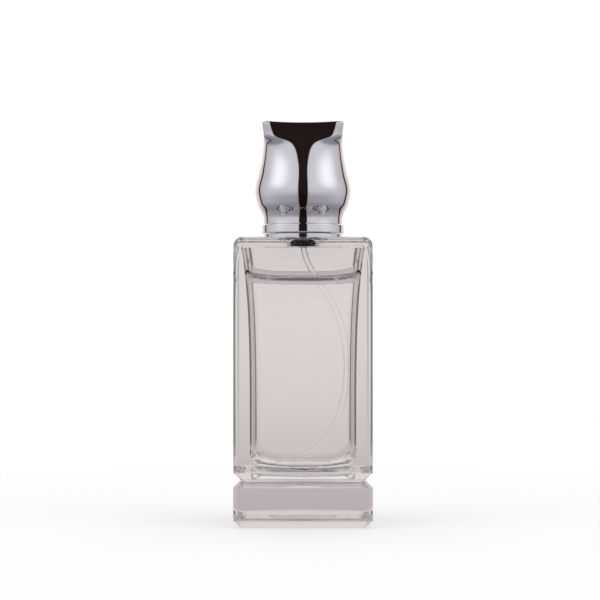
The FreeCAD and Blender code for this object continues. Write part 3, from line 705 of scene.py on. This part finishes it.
def buildWorld(s):
    world = bpy.data.worlds.new("studioRoom")
    scene.world = world
    world.use_nodes = True
    tree = world.node_tree
    tree.nodes.clear()
    way = addNode(tree, "ShaderNodeSeparateXYZ", {
        "Vector": addNode(tree, "ShaderNodeTexCoord").outputs["Generated"]})
    turn = addNode(tree, "ShaderNodeMath", {0: way.outputs["X"], 1: way.outputs["Y"]}, operation="ARCTAN2")
    # through the glass: a pale wall with dark gaps, and the bright overhead light
    high = addNode(tree, "ShaderNodeMapRange", {
        "Value": way.outputs["Z"], "From Min": s["overheadFrom"][0], "From Max": s["overheadFrom"][1]})
    level = addNode(tree, "ShaderNodeMix", {
        "Factor": high.outputs["Result"], 2: sideGaps(tree, turn.outputs[0], s), 3: s["overhead"]})
    # the dark room above the camera
    ahead = addNode(tree, "ShaderNodeMapRange", {
        "Value": way.outputs["Y"], "From Min": s["roomAhead"][0], "From Max": s["roomAhead"][1],
        "To Min": 1.0, "To Max": 0.0})
    above = addNode(tree, "ShaderNodeMapRange", {
        "Value": way.outputs["Z"], "From Min": s["roomAbove"][0], "From Max": s["roomAbove"][1]})
    beam = addNode(tree, "ShaderNodeMath", {0: ahead.outputs[0], 1: above.outputs[0]}, operation="MULTIPLY")
    dimmed = addNode(tree, "ShaderNodeMix", {
        "Factor": beam.outputs[0], 2: level.outputs[0], 3: s["roomShade"]})
    through = addNode(tree, "ShaderNodeBackground", {
        "Color": linear(s["behind"]), "Strength": dimmed.outputs[0]})
    # in the metal: white behind, a lamp at each side, and the dark room behind the camera
    side = addNode(tree, "ShaderNodeMath", {0: turn.outputs[0]}, operation="ABSOLUTE")
    share = addNode(tree, "ShaderNodeMath", {0: side.outputs[0], 1: math.pi}, operation="DIVIDE")
    ramp = addNode(tree, "ShaderNodeValToRGB", {"Fac": share.outputs[0]})
    fillRamp(ramp, s["metalTurn"])
    height = addNode(tree, "ShaderNodeValToRGB", {"Fac": addNode(tree, "ShaderNodeMapRange", {
        "Value": way.outputs["Z"], "From Min": -1.0, "From Max": 1.0}).outputs["Result"]})
    fillRamp(height, s["metalHeight"])
    lamps = addNode(tree, "ShaderNodeMix", {
        "Factor": 1.0, 6: ramp.outputs["Color"], 7: height.outputs["Color"],
    }, data_type="RGBA", blend_type="MULTIPLY")
    lamp = s["sideLamp"]
    mirrored = addNode(tree, "ShaderNodeVectorMath", {
        0: addNode(tree, "ShaderNodeCombineXYZ", {
            "X": addNode(tree, "ShaderNodeMath", {0: way.outputs["X"]}, operation="ABSOLUTE").outputs[0],
            "Y": way.outputs["Y"], "Z": way.outputs["Z"]}).outputs[0],
        1: lamp["way"]}, operation="DOT_PRODUCT")
    spread = addNode(tree, "ShaderNodeMapRange", {
        "Value": mirrored.outputs["Value"], "From Min": lamp["start"], "From Max": lamp["full"]})
    glow = addNode(tree, "ShaderNodeMath", {0: spread.outputs[0], 1: lamp["falloff"]}, operation="POWER")
    lit = addNode(tree, "ShaderNodeMix", {
        "Factor": glow.outputs[0], 6: lamps.outputs[2], 7: linear(lamp["colour"]),
    }, data_type="RGBA", blend_type="ADD")
    metal = addNode(tree, "ShaderNodeBackground", {"Color": lit.outputs[2], "Strength": s["metal"]})
    ambient = addNode(tree, "ShaderNodeBackground", {
        "Color": linear(s["white"]), "Strength": s["ambient"]})
    seen = addNode(tree, "ShaderNodeBackground", {"Color": linear(s["white"]), "Strength": 1.0})
    path = addNode(tree, "ShaderNodeLightPath")
    blend = ambient.outputs[0]
    for ray, look in (("Is Glossy Ray", metal), ("Is Transmission Ray", through), ("Is Camera Ray", seen)):
        blend = addNode(tree, "ShaderNodeMixShader", {
            0: path.outputs[ray], 1: blend, 2: look.outputs[0]}).outputs[0]
    addNode(tree, "ShaderNodeOutputWorld", {"Surface": blend})


def buildFloor(s):
    bm = bmesh.new()
    bmesh.ops.create_grid(bm, x_segments=8, y_segments=8, size=s["floorHalf"])
    bmesh.ops.translate(bm, verts=bm.verts, vec=(0, 0, -0.1 * mm))  # just under the foot
    mesh = bpy.data.meshes.new("studioFloor")
    bm.to_mesh(mesh)
    bm.free()
    floor = bpy.data.objects.new("studioFloor", mesh)
    scene.collection.objects.link(floor)
    floor.visible_glossy = False  # the metal shows the soft room instead of the paper's edge
    material = bpy.data.materials.new("paperFloor")
    material.use_nodes = True
    tree = material.node_tree
    tree.nodes.clear()
    place = addNode(tree, "ShaderNodeTexCoord").outputs["Object"]
    reach = addNode(tree, "ShaderNodeVectorMath", {0: place}, operation="LENGTH").outputs["Value"]
    spot = addNode(tree, "ShaderNodeSeparateXYZ", {"Vector": place})
    turn = addNode(tree, "ShaderNodeMath", {
        0: spot.outputs["X"], 1: spot.outputs["Y"]}, operation="ARCTAN2")
    path = addNode(tree, "ShaderNodeLightPath")
    paper = addNode(tree, "ShaderNodeBsdfDiffuse", {"Color": linear(s["paper"])})
    glow = addNode(tree, "ShaderNodeEmission", {"Color": linear(s["white"]), "Strength": 1.0})
    fade = addNode(tree, "ShaderNodeMapRange", {
        "Value": reach, "From Min": s["shadowReach"][0], "From Max": s["shadowReach"][1],
        "To Min": s["shadowLeast"], "To Max": 1.0})
    shown = addNode(tree, "ShaderNodeMath", {
        0: fade.outputs["Result"], 1: path.outputs["Is Camera Ray"]}, operation="MULTIPLY")
    plain = addNode(tree, "ShaderNodeMixShader", {
        0: shown.outputs[0], 1: paper.outputs[0], 2: glow.outputs[0]})
    # through the glass the floor glows with painted light and shade: a painted shadow under the foot, a
    # painted ring of light round it, then grey and paler with distance, crossed by painted shade where the
    # dark gaps stand
    beyond = addNode(tree, "ShaderNodeMath", {0: reach, 1: s["halfReach"]}, operation="ADD")
    share = addNode(tree, "ShaderNodeMath", {0: reach, 1: beyond.outputs[0]}, operation="DIVIDE")
    paintedTone = addNode(tree, "ShaderNodeValToRGB", {"Fac": share.outputs[0]})
    fillRamp(paintedTone, s["tableWithPaintedLightAndShade"])
    far = addNode(tree, "ShaderNodeMapRange", {
        "Value": reach, "From Min": s["gapReach"][0], "From Max": s["gapReach"][1]})
    # painted shade of the dark gaps, laid on the floor beyond gapReach
    level = addNode(tree, "ShaderNodeMix", {
        "Factor": far.outputs["Result"], 2: 1.0, 3: sideGaps(tree, turn.outputs[0], s)})
    # an emission seen only through the glass: painted light and shade on the floor, not lit by the lamps
    through = addNode(tree, "ShaderNodeEmission", {
        "Color": paintedTone.outputs["Color"], "Strength": level.outputs[0]})
    blend = addNode(tree, "ShaderNodeMixShader", {
        0: path.outputs["Is Transmission Ray"], 1: plain.outputs[0], 2: through.outputs[0]}).outputs[0]
    addNode(tree, "ShaderNodeOutputMaterial", {"Surface": blend})
    mesh.materials.append(material)


def buildLamps(s):
    for name, place in s["lamps"].items():
        data = bpy.data.lights.new(name, "AREA")
        data.energy = s["lampPower"]
        data.shape = "SQUARE"
        data.size = s["lampSize"]
        lamp = bpy.data.objects.new(name, data)
        lamp.location = Vector(place) * s["lampReach"]
        aim = Vector((0, 0, s["lampAim"])) - lamp.location
        lamp.rotation_euler = aim.to_track_quat("-Z", "Y").to_euler()
        lamp.visible_glossy = False
        lamp.visible_transmission = False
        scene.collection.objects.link(lamp)


view = {  # the photograph's view: 600 pixels across, the bottle's axis and the eye's height in pixels
    "place": (0.0, -675 * mm, 76.2 * mm), "lens": 109.2, "sensor": 36.0, "across": 600,
    "axisPixel": 303.0, "horizonPixel": 315.0,
}


def buildCamera(s):
    data = bpy.data.cameras.new("photoCamera")
    data.lens = s["lens"]
    data.sensor_width = s["sensor"]
    focal = s["lens"] / s["sensor"] * s["across"]
    lift = math.atan((s["horizonPixel"] - s["across"] / 2) / focal)
    turn = math.atan((s["axisPixel"] - s["across"] / 2) / focal)
    eye = bpy.data.objects.new("photoCamera", data)
    eye.location = s["place"]
    eye.rotation_euler = (math.pi / 2 + lift, 0.0, turn)
    scene.collection.objects.link(eye)
    scene.camera = eye


buildWorld(studio)
buildFloor(studio)
buildLamps(studio)
buildCamera(view)
print("studio and camera ready")
